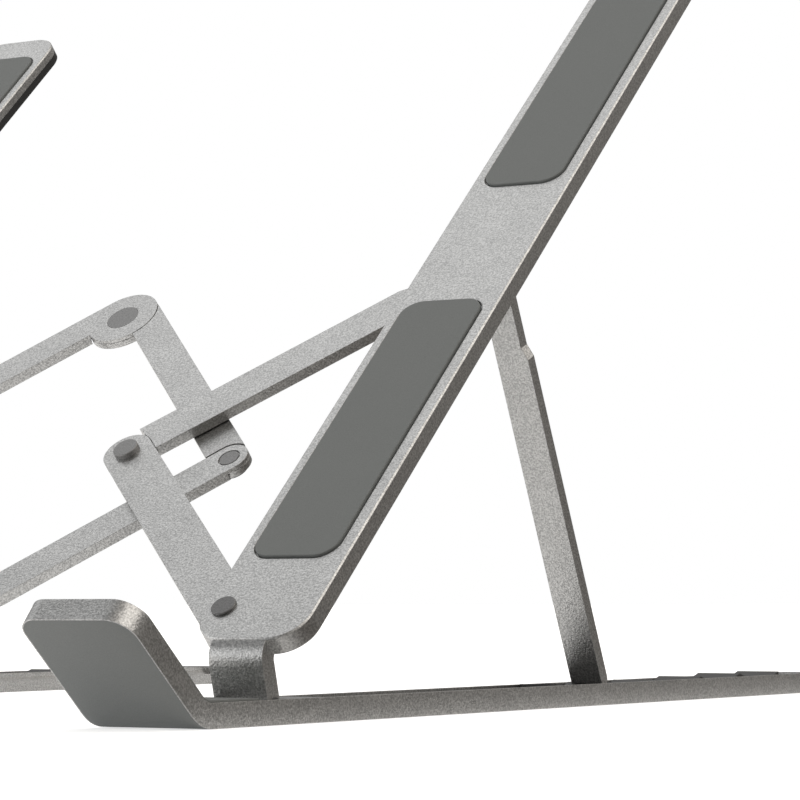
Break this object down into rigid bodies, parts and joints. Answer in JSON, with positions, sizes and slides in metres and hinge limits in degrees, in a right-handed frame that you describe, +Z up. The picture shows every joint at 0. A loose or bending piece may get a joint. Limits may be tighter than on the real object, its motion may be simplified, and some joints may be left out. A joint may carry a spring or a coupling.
{
  "type": "folding laptop stand",
  "caption": "Folding X-lattice laptop stand with hooked base arms, inclined padded top arms and prop legs in a notch rack.",
  "frame": {"origin": "on the floor, midway between the two sides and midway between the hook tips and the rear ends of the base arms", "axes": "+X across the stand to the right-hand side, +Y from the hooks to the rear, +Z up"},
  "size_m": [0.2374, 0.3364, 0.1919],
  "materials": {
    "metal": "bead-blasted, clear anodised",
    "rack_steel": "machined, blackened",
    "rest_rubber": "matt grey silicone",
    "grip_rubber": "matt grey silicone",
    "rail_nylon": "moulded, satin",
    "foot_rubber": "matt",
    "pin_steel": "satin grey"
  },
  "bodies": {
    "right_base": {"right_base_arm": "metal", "right_hook_grip_pad": "grip_rubber", "right_cradle_pad": "grip_rubber", "right_notch_rack": "rack_steel", "right_front_foot": "foot_rubber", "right_rear_foot": "foot_rubber", "right_hinge_pin": "pin_steel"},
    "right_top": {"right_top_arm": "metal", "right_lower_rest_pad": "rest_rubber", "right_upper_rest_pad": "rest_rubber", "right_slide_rail": "rail_nylon", "right_prop_bracket": "metal", "right_prop_pin": "pin_steel", "right_arm_rivet": "pin_steel"},
    "right_leg": {"right_prop_leg": "metal"},
    "right_main": {"right_main_link": "metal", "right_elbow_pin": "pin_steel", "right_lower_cross_stud": "pin_steel"},
    "right_slide": {"right_slide_link": "metal", "right_upper_cross_stud": "pin_steel", "right_slider_stud": "pin_steel"},
    "right_lattice_low": {"right_lower_lattice_link": "metal", "right_lattice_pin": "pin_steel", "lower_centre_pin": "pin_steel"},
    "right_lattice_high": {"right_upper_lattice_link": "metal", "upper_centre_pin": "pin_steel"},
    "left_base": {"left_base_arm": "metal", "left_hook_grip_pad": "grip_rubber", "left_cradle_pad": "grip_rubber", "left_notch_rack": "rack_steel", "left_front_foot": "foot_rubber", "left_rear_foot": "foot_rubber", "left_hinge_pin": "pin_steel"},
    "left_top": {"left_top_arm": "metal", "left_lower_rest_pad": "rest_rubber", "left_upper_rest_pad": "rest_rubber", "left_slide_rail": "rail_nylon", "left_prop_bracket": "metal", "left_prop_pin": "pin_steel", "left_arm_rivet": "pin_steel"},
    "left_leg": {"left_prop_leg": "metal"},
    "left_main": {"left_main_link": "metal", "left_elbow_pin": "pin_steel", "left_lower_cross_stud": "pin_steel"},
    "left_slide": {"left_slide_link": "metal", "left_upper_cross_stud": "pin_steel", "left_slider_stud": "pin_steel"},
    "left_lattice_low": {"left_lower_lattice_link": "metal", "left_lattice_pin": "pin_steel"},
    "left_lattice_high": {"left_upper_lattice_link": "metal"}
  },
  "joints": [
    {"name": "right_incline", "type": "hinge", "parent": "right_base", "child": "right_top", "pos_m": [0.1047, -0.11396, 0.0034], "axis": [1, 0, 0], "range_deg": [0, 30]},
    {"name": "right_prop_swing", "type": "hinge", "parent": "right_top", "child": "right_leg", "pos_m": [0.1063, -0.0109, 0.10075], "axis": [1, 0, 0], "range_deg": [0, 107]},
    {"name": "lattice_fold", "type": "hinge", "parent": "right_top", "child": "right_main", "pos_m": [0.0953, -0.10624, 0.02009], "axis": [0, 0.6724, -0.7402], "range_deg": [0, 37.4]},
    {"name": "right_slide_turn", "type": "hinge", "parent": "right_main", "child": "right_slide", "pos_m": [0.03428, -0.0617, 0.06055], "axis": [0, -0.6724, 0.7402], "range_deg": [0, 74.8]},
    {"name": "right_lattice_low_turn", "type": "hinge", "parent": "right_main", "child": "right_lattice_low", "pos_m": [0.04824, -0.06994, 0.04915], "axis": [0, -0.6724, 0.7402], "range_deg": [0, 74.8]},
    {"name": "right_lattice_high_turn", "type": "hinge", "parent": "right_lattice_low", "child": "right_lattice_high", "pos_m": [0.06219, -0.05975, 0.0584], "axis": [0, 0.6724, -0.7402], "range_deg": [0, 74.8]},
    {"name": "left_lattice_low_turn", "type": "hinge", "parent": "right_lattice_low", "child": "left_lattice_low", "pos_m": [0, -0.10239, 0.01968], "axis": [0, 0.6724, -0.7402], "range_deg": [0, 74.8]},
    {"name": "left_lattice_high_turn", "type": "hinge", "parent": "left_lattice_low", "child": "left_lattice_high", "pos_m": [-0.06219, -0.05975, 0.0584], "axis": [0, -0.6724, 0.7402], "range_deg": [0, 74.8]},
    {"name": "left_main_turn", "type": "hinge", "parent": "left_lattice_low", "child": "left_main", "pos_m": [-0.04824, -0.06994, 0.04915], "axis": [0, -0.6724, 0.7402], "range_deg": [0, 74.8]},
    {"name": "left_slide_turn", "type": "hinge", "parent": "left_main", "child": "left_slide", "pos_m": [-0.03428, -0.0617, 0.06055], "axis": [0, 0.6724, -0.7402], "range_deg": [0, 74.8]},
    {"name": "left_arm_turn", "type": "hinge", "parent": "left_main", "child": "left_top", "pos_m": [-0.0953, -0.10624, 0.02009], "axis": [0, 0.6724, -0.7402], "range_deg": [0, 37.4]},
    {"name": "left_incline", "type": "hinge", "parent": "left_top", "child": "left_base", "pos_m": [-0.1047, -0.11396, 0.0034], "axis": [1, 0, 0], "range_deg": [-30, 0]},
    {"name": "left_prop_swing", "type": "hinge", "parent": "left_top", "child": "left_leg", "pos_m": [-0.1063, -0.0109, 0.10075], "axis": [1, 0, 0], "range_deg": [0, 107]}
  ],
  "couplings": [
    {"joint": "right_slide_turn", "follows": "lattice_fold", "ratio": 2},
    {"joint": "right_lattice_low_turn", "follows": "lattice_fold", "ratio": 2},
    {"joint": "right_lattice_high_turn", "follows": "lattice_fold", "ratio": 2},
    {"joint": "left_lattice_low_turn", "follows": "lattice_fold", "ratio": 2},
    {"joint": "left_lattice_high_turn", "follows": "lattice_fold", "ratio": 2},
    {"joint": "left_main_turn", "follows": "lattice_fold", "ratio": 2},
    {"joint": "left_slide_turn", "follows": "lattice_fold", "ratio": 2},
    {"joint": "left_arm_turn", "follows": "lattice_fold", "ratio": 1},
    {"joint": "left_incline", "follows": "right_incline", "ratio": -1}
  ]
}
